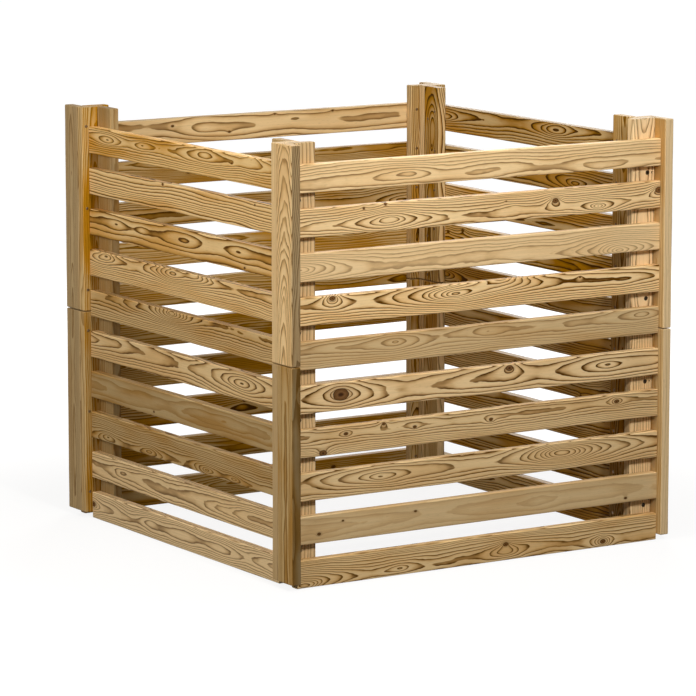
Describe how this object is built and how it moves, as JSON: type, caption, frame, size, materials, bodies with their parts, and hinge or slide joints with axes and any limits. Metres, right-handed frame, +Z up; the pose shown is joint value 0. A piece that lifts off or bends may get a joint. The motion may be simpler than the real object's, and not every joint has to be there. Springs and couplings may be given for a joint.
{
  "type": "wooden compost bin",
  "caption": "Square slatted timber compost bin of stacked open frames, with corner posts, inner battens and air gaps between the slats; the upper frame lifts off.",
  "frame": {"origin": "on the ground under the middle of the bin", "axes": "+Z up, the front wall at -Y, the left wall at -X"},
  "size_m": [0.76, 0.76, 0.73],
  "materials": {
    "slat_wood": "planed, untreated",
    "upright_wood": "planed, untreated",
    "nail_steel": "dull",
    "screw_steel": "dull"
  },
  "bodies": {
    "lower_frame": {"front_slat_lower_1": "slat_wood", "front_slat_lower_2": "slat_wood", "front_slat_lower_3": "slat_wood", "front_slat_lower_4": "slat_wood", "front_slat_lower_5": "slat_wood", "front_battens_lower": "upright_wood", "rear_slat_lower_1": "slat_wood", "rear_slat_lower_2": "slat_wood", "rear_slat_lower_3": "slat_wood", "rear_slat_lower_4": "slat_wood", "rear_slat_lower_5": "slat_wood", "rear_battens_lower": "upright_wood", "left_slat_lower_1": "slat_wood", "left_slat_lower_2": "slat_wood", "left_slat_lower_3": "slat_wood", "left_slat_lower_4": "slat_wood", "left_slat_lower_5": "slat_wood", "left_battens_lower": "upright_wood", "right_slat_lower_1": "slat_wood", "right_slat_lower_2": "slat_wood", "right_slat_lower_3": "slat_wood", "right_slat_lower_4": "slat_wood", "right_slat_lower_5": "slat_wood", "right_battens_lower": "upright_wood", "corner_post_front_left_lower": "upright_wood", "corner_post_front_right_lower": "upright_wood", "corner_post_rear_left_lower": "upright_wood", "corner_post_rear_right_lower": "upright_wood", "nails_lower": "nail_steel", "screws_lower": "screw_steel"},
    "upper_frame": {"front_slat_upper_1": "slat_wood", "front_slat_upper_2": "slat_wood", "front_slat_upper_3": "slat_wood", "front_slat_upper_4": "slat_wood", "front_slat_upper_5": "slat_wood", "front_battens_upper": "upright_wood", "rear_slat_upper_1": "slat_wood", "rear_slat_upper_2": "slat_wood", "rear_slat_upper_3": "slat_wood", "rear_slat_upper_4": "slat_wood", "rear_slat_upper_5": "slat_wood", "rear_battens_upper": "upright_wood", "left_slat_upper_1": "slat_wood", "left_slat_upper_2": "slat_wood", "left_slat_upper_3": "slat_wood", "left_slat_upper_4": "slat_wood", "left_slat_upper_5": "slat_wood", "left_battens_upper": "upright_wood", "right_slat_upper_1": "slat_wood", "right_slat_upper_2": "slat_wood", "right_slat_upper_3": "slat_wood", "right_slat_upper_4": "slat_wood", "right_slat_upper_5": "slat_wood", "right_battens_upper": "upright_wood", "corner_post_front_left_upper": "upright_wood", "corner_post_front_right_upper": "upright_wood", "corner_post_rear_left_upper": "upright_wood", "corner_post_rear_right_upper": "upright_wood", "nails_upper": "nail_steel", "screws_upper": "screw_steel"}
  },
  "joints": [
    {"name": "upper_frame_lift", "type": "slide", "parent": "lower_frame", "child": "upper_frame", "axis": [0, 0, 1], "range_m": [0, 0.4]}
  ]
}
